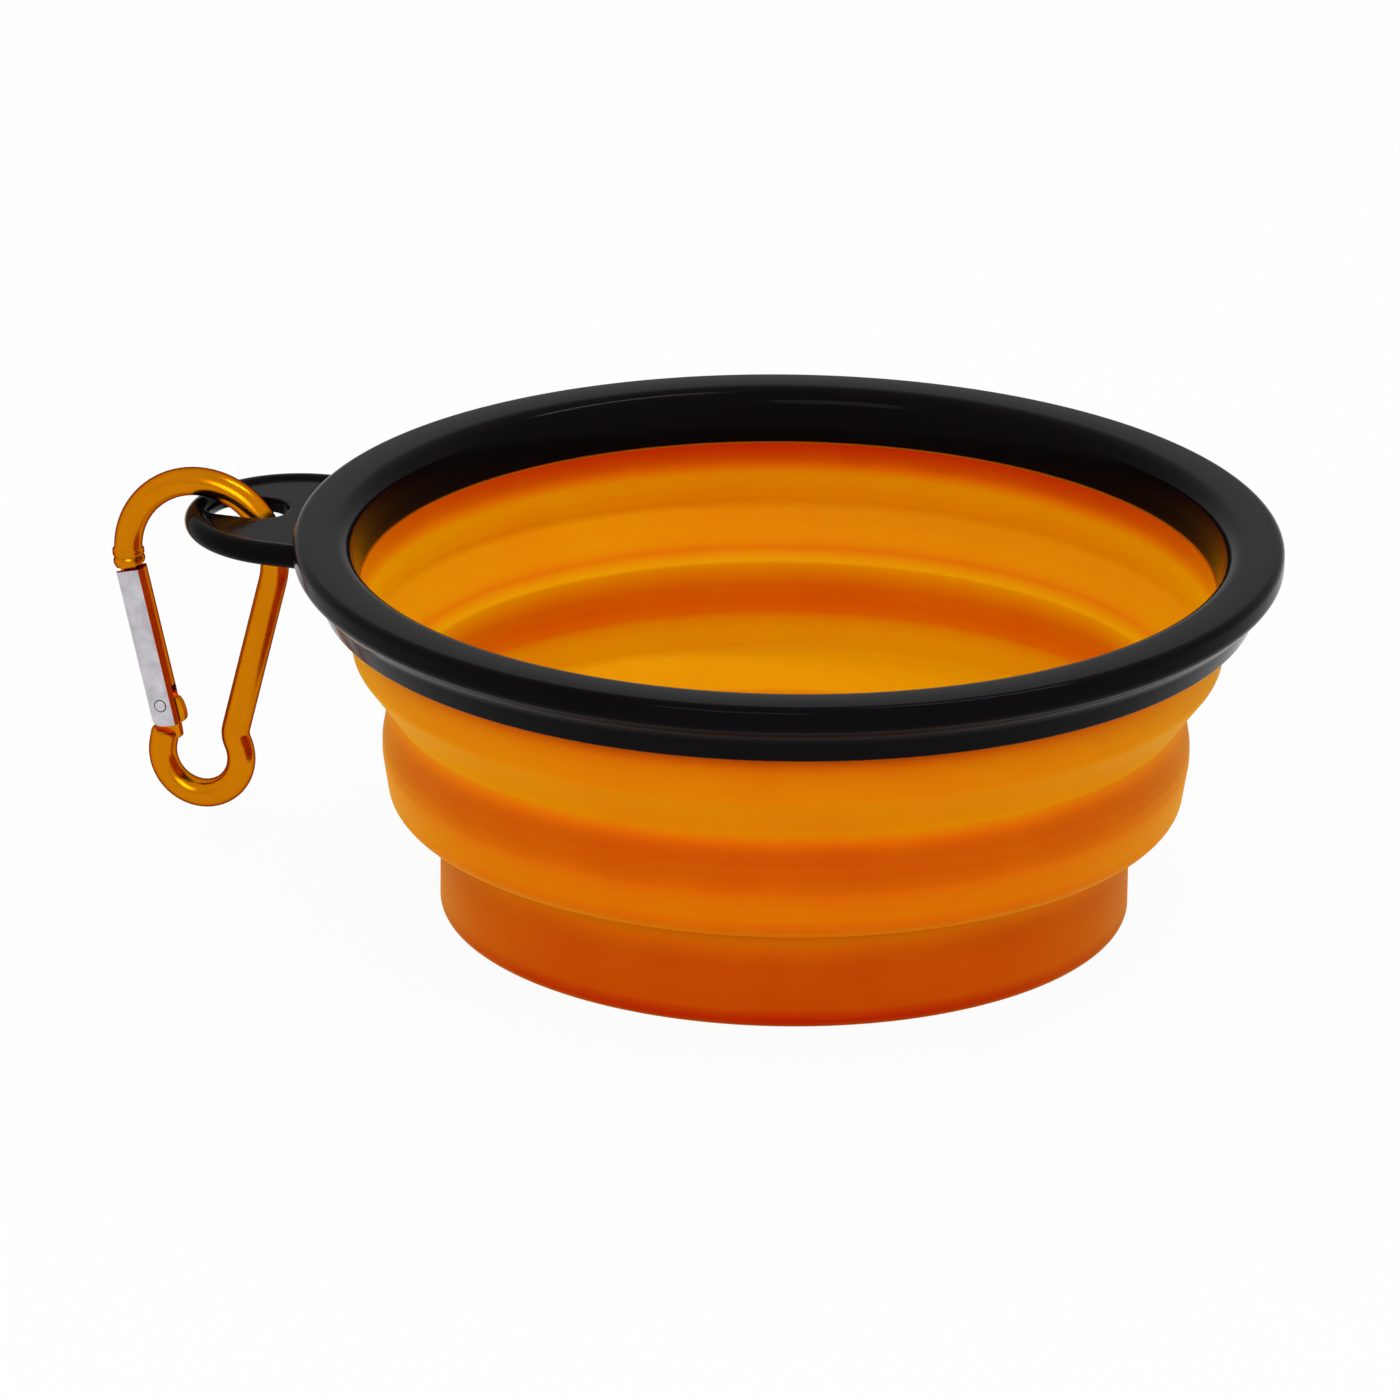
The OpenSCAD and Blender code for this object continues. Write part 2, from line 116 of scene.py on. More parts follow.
def pick(piece, kind, test):
    """In edit mode, selects the vertices, edges or faces that pass the test."""
    bpy.ops.mesh.select_mode(type=kind)
    bpy.ops.mesh.select_all(action="DESELECT")
    mesh = bmesh.from_edit_mesh(piece.data)
    items = {"VERT": mesh.verts, "EDGE": mesh.edges, "FACE": mesh.faces}[kind]
    chosen = [item for item in items if test(item)]
    for item in chosen:
        item.select_set(True)
    mesh.select_flush_mode()
    bmesh.update_edit_mesh(piece.data)
    return len(chosen)


def near(place):
    """A test for the vertices at a place."""
    return lambda vertex: (vertex.co - place).length < SAME_PLACE


print("Ready to pick vertices, edges and faces by place")

# %% [markdown]
# Every moulded part of this bowl begins as a drawn outline. By hand, one would put down a
# single vertex and extrude it from corner to corner. A vertex bevel then rounds a corner,
# with a width that follows from the wanted radius and the corner's angle. The same
# drawing serves for the turned parts and for flat ones such as the ear.

# %% Drawing an outline
def upright(across, high):
    """A point of an outline that stands in the XZ plane, from millimetres."""
    return Vector((across, 0, high)) * MM


def draw_outline(name, corners, to_space=upright, closed=True, segments=8):
    """Draws corners given as (u, v) or (u, v, radius) and stays in edit mode."""
    places = [to_space(*corner[:2]) for corner in corners]
    only(None)
    bpy.ops.mesh.primitive_plane_add(size=MM)
    piece = bpy.context.object
    piece.name = name
    bpy.ops.object.mode_set(mode="EDIT")
    bpy.ops.mesh.select_mode(type="VERT")
    bpy.ops.mesh.merge(type="CENTER")
    bpy.ops.transform.translate(value=places[0])
    for before, after in zip(places, places[1:]):
        bpy.ops.mesh.extrude_vertices_move(TRANSFORM_OT_translate={"value": after - before})
    if closed:
        pick(piece, "VERT", lambda v: near(places[0])(v) or near(places[-1])(v))
        bpy.ops.mesh.edge_face_add()
    for index, corner in enumerate(corners):
        if len(corner) == 3:
            there = places[index]
            before = places[index - 1] - there
            after = places[(index + 1) % len(places)] - there
            width = corner[2] * MM / math.tan(before.angle(after) / 2)
            pick(piece, "VERT", near(there))
            bpy.ops.mesh.bevel(offset=width, segments=segments, affect="VERTICES")
    bpy.ops.mesh.select_all(action="SELECT")
    return piece


print("Ready to draw outlines")

# %% [markdown]
# A shape made by spinning, cutting or joining can be left with doubled seams or with faces
# that point inwards. So each one ends the same way: its doubles merge, its faces turn
# outwards, its place goes into its mesh, and it is shaded smooth except at sharp edges.
# A turned shape is its outline spun once round. Its slopes are divided first, so that a
# colour that changes with height has points enough to change at. An edge over LONG_EDGE,
# such as the flat floor, has no slope and stays whole.

# %% Closing and turning
DOUBLES, SHARP_DEG = 0.001 * MM, 32
TURN_STEPS, LONG_EDGE = 192, 15


def tidy_shell(piece, sharp_deg=SHARP_DEG):
    """Closes seams, turns faces outwards and shades the piece smooth except at creases."""
    only(piece)
    bpy.ops.object.mode_set(mode="EDIT")
    bpy.ops.mesh.select_all(action="SELECT")
    bpy.ops.mesh.remove_doubles(threshold=DOUBLES)
    bpy.ops.mesh.normals_make_consistent(inside=False)
    bpy.ops.object.mode_set(mode="OBJECT")
    bpy.ops.object.transform_apply(location=True, rotation=True, scale=True)
    bpy.ops.object.shade_smooth_by_angle(angle=math.radians(sharp_deg))
    loose = [e for e in piece.data.edges if e.is_loose]
    print(f"{piece.name}: {len(piece.data.polygons)} faces, {len(loose)} loose edges")
    return piece


def turn_outline(piece, finest=None):
    """Spins the drawn outline once round the bowl's axis into a closed body."""
    while finest and pick(piece, "EDGE",
                          lambda e: LONG_EDGE > e.calc_length() / MM > finest):
        bpy.ops.mesh.subdivide(number_cuts=1)
    bpy.ops.mesh.select_mode(type="VERT")
    bpy.ops.mesh.select_all(action="SELECT")
    bpy.ops.mesh.spin(steps=TURN_STEPS, angle=2 * math.pi, center=(0, 0, 0), axis=UP)
    return tidy_shell(piece)


def show_box(piece):
    """Prints a piece's lowest and highest corners in millimetres."""
    corners = (*piece.bound_box[0], *piece.bound_box[6])
    print(piece.name, "box in mm:", [round(value / MM, 2) for value in corners])


print("A turned shape has", TURN_STEPS, "steps round")

# %% [markdown]
# The bowl is one silicone moulding on the real object. A piece can bend across one joint
# only, so it is made as two bodies of revolution that meet in the middle wall, just below
# the upper crease, where both follow the same part of the fold. Walls are drawn at their
# real thickness, because light that passes through thin silicone makes its glow; most of
# that glow is painted light in the colour, further on.

# %% Silicone bowl
SEAM_Z, SEAM_GAP, FINEST = 25.2, 0.01, 0.75
MIDDLE_OUT, FOLD_OUT = (53.2, 23.45, 3.2), (52.3, 29.0)
MIDDLE_IN, FOLD_IN = (51.5, 23.3, 1.6), (51.1, 29.0)


def seam_point(low, high, z):
    """The point at height z on the straight wall between two corners."""
    share = (z - low[1]) / (high[1] - low[1])
    return (low[0] + share * (high[0] - low[0]), z)


upper_z, lower_z = SEAM_Z + SEAM_GAP / 2, SEAM_Z - SEAM_GAP / 2
silicone_upper = turn_outline(draw_outline("silicone_upper", [
    seam_point(MIDDLE_OUT, FOLD_OUT, upper_z), (*FOLD_OUT, 0.5), (57.2, 35.58, 2.2),
    (57.9, 42.8, 0.5), (59.45, 43.55, 0.3), (59.45, 48.4, 0.4), (58.35, 48.4, 0.3),
    (57.45, 44.3), (56.2, 44.3), (55.5, 36.9, 3.0), (55.6, 35.7, 1.4), (*FOLD_IN, 0.6),
    seam_point(MIDDLE_IN, FOLD_IN, upper_z)]), FINEST)
silicone_lower = turn_outline(draw_outline("silicone_lower", [
    (0, 0), (45.5, 0, 1.0), (45.5, 13.2, 0.4), (52.194, 15.246, 2.4), (53.2, 21.6, 6),
    MIDDLE_OUT, seam_point(MIDDLE_OUT, FOLD_OUT, lower_z),
    seam_point(MIDDLE_IN, FOLD_IN, lower_z), MIDDLE_IN, (51.5, 21.6, 4),
    (51.037, 16.252, 1.3), (44.3, 13.2, 0.7), (43.8, 11.5, 2), (43.8, 2.4, 4), (0, 2.4)],
    closed=False), FINEST)
show_box(silicone_upper)
show_box(silicone_lower)

# %% [markdown]
# The rim is a hard moulding: a flat-topped crown with rounded edges above a tapered
# skirt, open below to hold the silicone's lip. It could be a ring with its edges bevelled,
# but its section shows in the photograph, so it is drawn and turned like the bowl.

# %% Rim
rim = turn_outline(draw_outline("rim", [
    (59.55, 42.8, 0.2), (61.15, 42.8, 0.5), (62.75, 46.7, 4.0), (64.99, 48.11, 1.6),
    (64.99, 51.39, 1.1), (57.7, 51.39, 2.6), (56.2, 44.4, 0.4),
    (57.35, 44.4, 0.1), (58.25, 48.5), (59.55, 48.5)]))
show_box(rim)

# %% [markdown]
# The ear is a thin web with a hole and a round bead along its edge. The web is drawn
# level and given its thickness, and the hole is a longer solid that is cut from it. The
# bead is a disc pulled along the edge: out, round, and back, which keeps it truly round
# all the way. A curve with a bevel would do too, but it would have to be made a mesh.
# A corner as round as the shape is wide would leave two points in one place, so each is
# ROUNDING_GAP less than that.

# %% Ear
EAR_START, EAR_CENTRE, EAR_Z = 59.0, 68.0, 45.2
BEAD_LINE, BEAD_R, BEAD_STEPS = 13.8, 1.6, 40
WEB_T, ROUNDING_GAP = 2.0, 0.01
HOLE_NEAR, HOLE_FAR, HOLE_HALF = 69.8, 81.8, 4.0


def level_at(z):
    """Maps outline points to the level plane at height z, from millimetres."""
    return lambda across, along: Vector((across, along, z)) * MM


def thicken(piece, move):
    """Fills the drawn outline and pulls the face to a solid."""
    bpy.ops.mesh.edge_face_add()
    bpy.ops.mesh.extrude_region_move(TRANSFORM_OT_translate={"value": Vector(move) * MM})
    return tidy_shell(piece)


def combine(piece, tool, operation):
    """Joins, cuts or trims a piece with a tool solid, which is then used up."""
    only(piece)
    change = piece.modifiers.new("combine", "BOOLEAN")
    change.operation, change.object, change.solver = operation, tool, "EXACT"
    bpy.ops.object.modifier_apply(modifier=change.name)
    bpy.data.objects.remove(tool)
    return piece


def disc(name, radius, place, rotation, sides=32):
    """A filled disc in edit mode, the start of a rod or a bead."""
    only(None)
    bpy.ops.mesh.primitive_circle_add(vertices=sides, radius=radius * MM, fill_type="NGON",
                                      location=place, rotation=rotation)
    piece = bpy.context.object
    piece.name = name
    bpy.ops.object.transform_apply(location=True, rotation=True, scale=True)
    bpy.ops.object.mode_set(mode="EDIT")
    bpy.ops.mesh.select_mode(type="FACE")
    bpy.ops.mesh.select_all(action="SELECT")
    return piece


def pull(move):
    """Extrudes the selected end by a move in metres."""
    bpy.ops.mesh.extrude_region_move(TRANSFORM_OT_translate={"value": move})


ear_round, hole_round = BEAD_LINE - ROUNDING_GAP, HOLE_HALF - ROUNDING_GAP
ear = thicken(draw_outline("ear_web", [
    (-EAR_START, -BEAD_LINE), (-EAR_CENTRE - BEAD_LINE, -BEAD_LINE, ear_round),
    (-EAR_CENTRE - BEAD_LINE, BEAD_LINE, ear_round), (-EAR_START, BEAD_LINE)],
    level_at(EAR_Z - WEB_T / 2), segments=24), (0, 0, WEB_T))
hole = thicken(draw_outline("ear_hole", [
    (-HOLE_NEAR, -HOLE_HALF, hole_round), (-HOLE_FAR, -HOLE_HALF, hole_round),
    (-HOLE_FAR, HOLE_HALF, hole_round), (-HOLE_NEAR, HOLE_HALF, hole_round)],
    level_at(EAR_Z - WEB_T), segments=16), (0, 0, 2 * WEB_T))
combine(ear, hole, "DIFFERENCE")
bead_start = Vector((-EAR_START, -BEAD_LINE, EAR_Z)) * MM
bead = disc("ear_bead", BEAD_R, bead_start, (0, math.pi / 2, 0))
pull(Vector((EAR_START - EAR_CENTRE, 0, 0)) * MM)
bpy.ops.mesh.spin(steps=BEAD_STEPS, angle=math.pi, axis=UP,
                  center=(-EAR_CENTRE * MM, 0, EAR_Z * MM))
pull(Vector((EAR_CENTRE - EAR_START, 0, 0)) * MM)
show_box(tidy_shell(bead))

# %% [markdown]
# The real ear has no edges: bead, web and rim came out of one mould, with soft inner
# corners. Bevelling the corners would fail where the curved bead dies into the web, so a
# voxel remesh melts the two into one skin, and a little smoothing rounds its corners. A
# core that fits the crown's inside is cut away before the ear joins the rim.

# %% The ear as one moulding
VOXEL, SMOOTH_ROUNDS, SMOOTH_SHARE = 0.2, 14, 0.5
EAR_ROOT_R, CORE_LOW, CORE_HIGH = 60.35, 40, 52


def melt(piece):
    """Remeshes a piece into one skin and smooths it, which rounds its inner corners."""
    only(piece)
    skin = piece.modifiers.new("skin", "REMESH")
    skin.mode, skin.voxel_size = "VOXEL", VOXEL * MM
    soften = piece.modifiers.new("soften", "SMOOTH")
    soften.factor, soften.iterations = SMOOTH_SHARE, SMOOTH_ROUNDS
    for change in (skin, soften):
        bpy.ops.object.modifier_apply(modifier=change.name)
    return tidy_shell(piece)


combine(ear, bead, "UNION")
melt(ear)
core = disc("ear_root", EAR_ROOT_R, Vector((0, 0, CORE_LOW * MM)), (0, 0, 0), sides=256)
pull(Vector((0, 0, (CORE_HIGH - CORE_LOW) * MM)))
combine(ear, tidy_shell(core), "DIFFERENCE")
combine(rim, ear, "UNION")
show_box(tidy_shell(rim))

# %% [markdown]
# The carabiner is a rod bent round a large top arc, a small bottom arc and a neck between
# them. Everything on it follows from a few sizes: the radii of the bends, how far apart
# their centres are, and how far the loop's sides lean. So the places come first, worked
# out in the plane of the loop. LOOP is the top arc's centre on the bowl.

# %% Places on the carabiner
ROD_R, TOP_R, BOTTOM_R, NECK_R = 1.9, 10.4, 5.6, 3.0
BEND_GAP, LEAN, ARM_DEG, ARM_L, RIVET_RISE = 28.3, 13.7, 10.0, 2.0, 3.614
LOOP = Vector((-81.9988, 0, 38.5029))


def in_loop(out, high):
    """A point in the loop's plane: out from the bowl and up, in mm from the top centre."""
    return (LOOP + Vector((-out, 0, high))) * MM


def heading(deg):
    """The direction in the loop's plane at an angle from outwards towards up."""
    return Vector((-math.cos(math.radians(deg)), 0, math.sin(math.radians(deg))))


def on_circle(centre, radius, deg):
    """A point on a bend's circle, in metres."""
    return centre + heading(deg) * radius * MM


lean = math.radians(LEAN)
top_centre, foot_centre = in_loop(0, 0), in_loop(0, -BEND_GAP)
neck_across = TOP_R - BEND_GAP * math.sin(lean) + NECK_R
neck_along = math.sqrt((BOTTOM_R + NECK_R) ** 2 - neck_across ** 2)
neck_deg = math.degrees(math.atan2(neck_along, neck_across))
neck_centre = (foot_centre + heading(180 + LEAN) * neck_across * MM
               + heading(90 + LEAN) * neck_along * MM)
arm_end = on_circle(foot_centre, BOTTOM_R, ARM_DEG) + heading(90 + ARM_DEG) * ARM_L * MM
gate_axis = heading(90 - LEAN)
gate_out = gate_axis.cross(Vector((0, 1, 0)))
nose = on_circle(top_centre, TOP_R, -LEAN)
pivot = nose - gate_axis * ((nose - arm_end).dot(gate_axis) - RIVET_RISE * MM)
print("Rivet at", [round(c / MM, 2) for c in pivot], "mm; neck turns", round(neck_deg, 1))

# %% [markdown]
# The rod could be a curve with a round bevel. Here its round section is drawn at the nose
# and spun about the centre of each bend in turn, with a straight pull between, which is
# how the real rod is bent too. The nose has two pressed ridges, and the far end is
# rounded: both are rings of the rod, each made with a short step and a change of size.
# A ring is given as its distance from the last one in mm and its size against the rod's.

# %% Bending the rod
NOSE_SIZE = 1.02
NOSE_RINGS = ((0.5, 1.13), (0.4, 1.13), (0.35, 1.03), (0.35, 1.13), (0.55, 1.13), (0.35, 1))
END_RINGS = ((1.544, 1), (0.266, 0.95), (0.19, 0.8))
TOP_STEPS, NECK_STEPS, BOTTOM_STEPS = 44, 10, 36


def bend(centre, deg, steps):
    """Spins the rod's end about a bend's centre, by degrees in the loop's plane."""
    bpy.ops.mesh.spin(steps=steps, angle=math.radians(deg), center=centre, axis=(0, -1, 0))


def swell(share):
    """Resizes the rod's end about its own centre."""
    mesh = bmesh.from_edit_mesh(bpy.context.object.data)
    ring = [v.co for v in mesh.verts if v.select]
    middle = sum(ring, Vector()) / len(ring)
    bpy.ops.transform.resize(value=(share,) * 3, center_override=middle)


body = disc("carabiner", ROD_R * NOSE_SIZE, nose, (0, -lean, 0), sides=40)
size, done = NOSE_SIZE, 0
for length, share in NOSE_RINGS:
    step = math.degrees(length / TOP_R)
    bend(top_centre, step, 1)
    swell(share / size)
    size, done = share, done + step
bend(top_centre, 180 + 2 * LEAN - done, TOP_STEPS)
spine_start = on_circle(top_centre, TOP_R, 180 + LEAN)
spine_end = on_circle(neck_centre, NECK_R, LEAN)
pull(spine_end - spine_start)
bend(neck_centre, -neck_deg, NECK_STEPS)
bend(foot_centre, 180 - LEAN + neck_deg + ARM_DEG, BOTTOM_STEPS)
for length, share in END_RINGS:
    pull(heading(90 + ARM_DEG) * length * MM)
    swell(share / size)
    size = share
show_box(tidy_shell(body))

# %% [markdown]
# Both ends of the rod are pressed into flat tongues that reach into the gate. The lower
# one has a bulge where the gate's foot stops against it, and a hole for the rivet. It is
# drawn corner by corner, in multiples of the gate's radius, for its outline shows under
# the gate. A tongue could be shaped from the rod itself, but a second solid that is
# joined to it gives the crisp step that pressing leaves.

# %% Tongues
TONGUE_T, TONGUE_ROUND, GATE_R = 1.2, 0.25, 2.1
TONGUE = ((0.62, -2.2), (0.84, -0.7), (0.84, 0.15), (0.5, 0.75), (-0.5, 0.75), (-0.92, 0.32),
          (-1.12, 0.24), (-1.26, -0.1), (-1.33, -0.6), (-1.3, -1.08), (-1.18, -1.3),
          (-0.76, -1.42), (-0.7, -2.4))
NOSE_HALF, NOSE_ROUND, NOSE_REACH, NOSE_ROOT = 0.9, 0.3, 3.2, 1
BODY_HOLE_R, GATE_HOLE_R, DRILL_REACH = 0.85, 0.88, 3


def in_gate(side):
    """Maps points (out from the bowl, along the gate from the rivet), in mm, at a y."""
    depth = Vector((0, side * MM, 0))
    return lambda out, along: pivot + (gate_out * out + gate_axis * along) * MM + depth


def drill(radius):
    """A round cutter through the rivet's place."""
    start = pivot - Vector((0, DRILL_REACH * MM, 0))
    piece = disc("rivet_hole", radius, start, (math.pi / 2, 0, 0))
    pull(Vector((0, 2 * DRILL_REACH * MM, 0)))
    return tidy_shell(piece)


tongue = thicken(draw_outline("hinge_tongue",
                              [(u * GATE_R, v * GATE_R, TONGUE_ROUND) for u, v in TONGUE],
                              in_gate(-TONGUE_T / 2), segments=3), (0, TONGUE_T, 0))
reach = (nose - pivot).length / MM
tip, root = reach - NOSE_REACH, reach + NOSE_ROOT
nose_tongue = thicken(draw_outline("nose_tongue", [
    (-NOSE_HALF, tip, NOSE_ROUND), (NOSE_HALF, tip, NOSE_ROUND),
    (NOSE_HALF, root), (-NOSE_HALF, root)],
    in_gate(-TONGUE_T / 2), segments=3), (0, TONGUE_T, 0))
rivet_hole = drill(BODY_HOLE_R)
combine(body, tongue, "UNION")
combine(body, nose_tongue, "UNION")
combine(body, rivet_hole, "DIFFERENCE")
show_box(tidy_shell(body))

# %% [markdown]
# The gate is a round bar with its two cheeks milled flat, which is why the cheeks are
# bare metal and the rest keeps its colour. Its side view is drawn first, with the tail's
# rounded corners, then given the cheeks' thickness and trimmed by the bar's cylinder.
# Slots for the two tongues and the spring's bore are cut last, as the maker does. PAST
# and BESIDE are how far a cutter reaches beyond the metal, along the gate and across it.

# %% Gate
GATE_T, GATE_TAIL, NOSE_GAP, SLOT_W = 3.0, 2.9, 0.6, 1.5
GATE_TOP = reach - NOSE_GAP
TAIL_IN_ROUND, TAIL_OUT_ROUND = 0.5, 2.0
FORK_TOP, BORE_L, BORE_R = 2.401, 10.4, 1.0
NOSE_SLOT_L, NOSE_SLOT_IN = 2.9, 1.2
PAST, BESIDE = 1, 4


def block(name, low_out, high_out, low, high, width):
    """A square cutter in the gate's frame."""
    return thicken(draw_outline(name, [(low_out, low), (high_out, low), (high_out, high),
                                       (low_out, high)], in_gate(-width / 2)), (0, width, 0))


def bar(name, radius, low, high, sides=64):
    """A round bar along the gate's axis."""
    piece = disc(name, radius, pivot + gate_axis * low * MM, (0, -lean, 0), sides)
    pull(gate_axis * (high - low) * MM)
    return tidy_shell(piece)


gate = thicken(draw_outline("gate", [
    (-GATE_R, -GATE_TAIL, TAIL_IN_ROUND), (GATE_R, -GATE_TAIL, TAIL_OUT_ROUND),
    (GATE_R, GATE_TOP), (-GATE_R, GATE_TOP)], in_gate(-GATE_T / 2)), (0, GATE_T, 0))
combine(gate, bar("gate_round", GATE_R, -GATE_TAIL - PAST, GATE_TOP + PAST), "INTERSECT")
combine(gate, block("fork", -BESIDE, BESIDE, -GATE_TAIL - PAST, FORK_TOP, SLOT_W),
        "DIFFERENCE")
combine(gate, block("nose_slot", -NOSE_SLOT_IN, BESIDE, GATE_TOP - NOSE_SLOT_L,
                    GATE_TOP + PAST, SLOT_W), "DIFFERENCE")
combine(gate, bar("bore", BORE_R, 0, FORK_TOP + BORE_L, sides=32), "DIFFERENCE")
combine(gate, drill(GATE_HOLE_R), "DIFFERENCE")
show_box(tidy_shell(gate))

# %% [markdown]
# The rivet's ends are peened over: a short pin with its rims rolled in, so that a fine
# dark ring shows round each head. Its two rims are the edges that lie level in y, and a
# bevel rolls them.

# %% Rivet
RIVET_R, RIVET_PROUD, RIVET_ROLL, RIVET_SHARP_DEG = 0.76, 0.12, 0.12, 50
LEVEL = 1e-7

rivet = disc("rivet", RIVET_R, pivot - Vector((0, GATE_T / 2 + RIVET_PROUD, 0)) * MM,
             (math.pi / 2, 0, 0), sides=48)
pull(Vector((0, GATE_T + 2 * RIVET_PROUD, 0)) * MM)
tidy_shell(rivet)
bpy.ops.object.mode_set(mode="EDIT")
pick(rivet, "EDGE", lambda e: abs(e.verts[0].co.y - e.verts[1].co.y) < LEVEL)
bpy.ops.mesh.bevel(offset=RIVET_ROLL * MM, segments=4, affect="EDGES")
show_box(tidy_shell(rivet, RIVET_SHARP_DEG))

# %% [markdown]
# The spring is wound from one unbroken wire. It is a small disc that a screw modifier
# carries up a helix, made upright at the origin and then laid along the gate's axis. It
# lies in the gate's bore, shows only at the fork, and shortens when its plunger moves.

# %% Spring
SPRING_R, WIRE_D, SPRING_LOW, SPRING_HIGH = 0.76, 0.32, 4.321, 12.481
SPRING_TURNS, SPRING_STEPS = 8, 128

spring = disc("gate_coil", WIRE_D / 2, Vector((SPRING_R * MM, 0, SPRING_LOW * MM)),
              (math.pi / 2, 0, 0), sides=10)
bpy.ops.object.mode_set(mode="OBJECT")
coil = spring.modifiers.new("coil", "SCREW")
coil.angle = math.tau * SPRING_TURNS
coil.steps = coil.render_steps = SPRING_STEPS
coil.screw_offset, coil.use_merge_vertices = (SPRING_HIGH - SPRING_LOW) * MM, False
bpy.ops.object.modifier_apply(modifier=coil.name)
spring.rotation_euler, spring.location = (0, -lean, 0), pivot
show_box(tidy_shell(spring))

# %% [markdown]
# Each finish is one Principled shader whose colour, roughness and fine relief come from
# noise in the piece's own coordinates, so that it stays put from any side. A picture
# could be wrapped round the piece instead, but noise needs no seams and no file. What is
# the same all over a piece is set on the shader itself.

# %% A start for every finish
def new_finish(name):
    """A material, with its node tree and its shader to hand."""
    material = bpy.data.materials.new(name)
    material.use_nodes = True
    tree = material.node_tree
    return material, tree, tree.nodes["Principled BSDF"]


def noise(tree, scale, detail=3):
    """Noise on the piece's own coordinates, in features per metre."""
    place = tree.nodes.new("ShaderNodeTexCoord")
    texture = tree.nodes.new("ShaderNodeTexNoise")
    texture.inputs["Scale"].default_value = scale
    texture.inputs["Detail"].default_value = detail
    tree.links.new(place.outputs["Object"], texture.inputs["Vector"])
    return texture.outputs["Fac"]


def spread(tree, factor, low, high, start=0.0, end=1.0):
    """Spreads a factor over a range of values."""
    span = tree.nodes.new("ShaderNodeMapRange")
    span.inputs["From Min"].default_value, span.inputs["From Max"].default_value = start, end
    span.inputs["To Min"].default_value, span.inputs["To Max"].default_value = low, high
    tree.links.new(factor, span.inputs["Value"])
    return span.outputs["Result"]


def roughen(tree, shader, scale, low, high):
    """Lets the roughness wander between two values."""
    tree.links.new(spread(tree, noise(tree, scale), low, high), shader.inputs["Roughness"])


def press(tree, shader, scale, depth, strength, detail=3):
    """Presses a fine grain into the surface, with its depth in millimetres."""
    bump = tree.nodes.new("ShaderNodeBump")
    bump.inputs["Distance"].default_value = depth * MM
    bump.inputs["Strength"].default_value = strength
    tree.links.new(noise(tree, scale, detail), bump.inputs["Height"])
    tree.links.new(bump.outputs["Normal"], shader.inputs["Normal"])


def settle(shader, **values):
    """Sets what is the same all over, on sockets named with _ for each space."""
    for name, value in values.items():
        shader.inputs[name.replace("_", " ")].default_value = value


def wear(piece, material, slot, body_name, *nodes):
    """Gives a piece its finish, its body and the nodes it replaces. The slot is not used."""
    piece.data.materials.clear()
    piece.data.materials.append(material)
    if nodes:
        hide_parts(*nodes)
    if body_name:
        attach(piece, body_name)
    print(piece.name, "is finished in", material.name)


# %% [markdown]
# Silicone lets light through where it is thin, so the folds of the real bowl glow golden
# and its thick walls stay a deep orange. Here that glow is painted light, and the shade
# under the rim, on the middle wall and at the foot is painted shade. A table by height
# says how much of each a vertex takes, and the value goes into an attribute on the mesh,
# so the painted light stays on its fold when the bowl is folded. It could be painted on by
# hand, but on a turned shape a table of heights does the same, and each of its values can
# be corrected alone.

# %% Painted glow and shade of the silicone
# Painted light and shade by height: high values paint the glow of the thin folds and creases,
# low ones the shade under the rim's overhang, on the middle wall and at the foot.
PAINTED_LIGHT_OUTSIDE = ((0.0, 0.0), (1.3, 0.0), (2.2, 0.26), (8.5, 0.28), (10.2, 0.37), (12.2, 0.62),
                (13.0, 0.46), (15.2, 0.41), (16.3, 0.43), (17.8, 0.54), (19.5, 0.52),
                (20.8, 0.48), (22, 0.39), (23.5, 0.33), (25.8, 0.29), (26.9, 0.34),
                (28.0, 0.46), (29.0, 0.64), (29.9, 0.66), (31, 0.61), (34.8, 0.62),
                (36.5, 0.62), (38.4, 0.60), (40.0, 0.53),
                (41.2, 0.36), (42.3, 0.22), (44.4, 0.12), (50, 0.1))
PAINTED_LIGHT_INSIDE = ((0.0, 0.9), (13.2, 0.9), (16.2, 0.96), (17.5, 1.0), (19.5, 0.96), (20.8, 0.82),
               (21.8, 0.52), (23.5, 0.44), (25.6, 0.45), (26.9, 0.64), (28.0, 0.82),
               (29.0, 1.0), (29.9, 0.83), (30.7, 0.58), (31.5, 0.76), (32.8, 0.80),
               (34.2, 0.77), (35.7, 0.78), (37.7, 0.77), (39.0, 0.83), (40.1, 0.84),
               (41.2, 0.50), (42.2, 0.29), (43.2, 0.18), (44.4, 0.03), (50, 0.03))


def between(table, z):
    """Reads a table of (height, value) at a height, on straight lines."""
    for (low_z, low), (high_z, high) in zip(table, table[1:]):
        if z <= high_z:
            return low + (high - low) * max(0.0, z - low_z) / (high_z - low_z)
    return table[-1][1]


def painted_light_at(place, normal):
    """The painted light and shade at a vertex, for its inner or its outer face."""
    outwards = normal.x * place.x + normal.y * place.y - 0.5 * normal.z * place.xy.length
    return between(PAINTED_LIGHT_OUTSIDE if outwards > 0 else PAINTED_LIGHT_INSIDE, place.z)


def note_on_points(piece, name, value):
    """Stores a value for each vertex, worked out from its place in mm and its normal."""
    layer = piece.data.attributes.new(name, "FLOAT", "POINT")
    for vertex in piece.data.vertices:
        layer.data[vertex.index].value = value(vertex.co / MM, vertex.normal)
    values = [point.value for point in layer.data]
    print(f"{piece.name}: {name} from {min(values):.2f} to {max(values):.2f}")


# Each silicone piece stores its painted light and shade as the glow attribute.
for piece in (silicone_upper, silicone_lower):
    note_on_points(piece, "glow", painted_light_at)
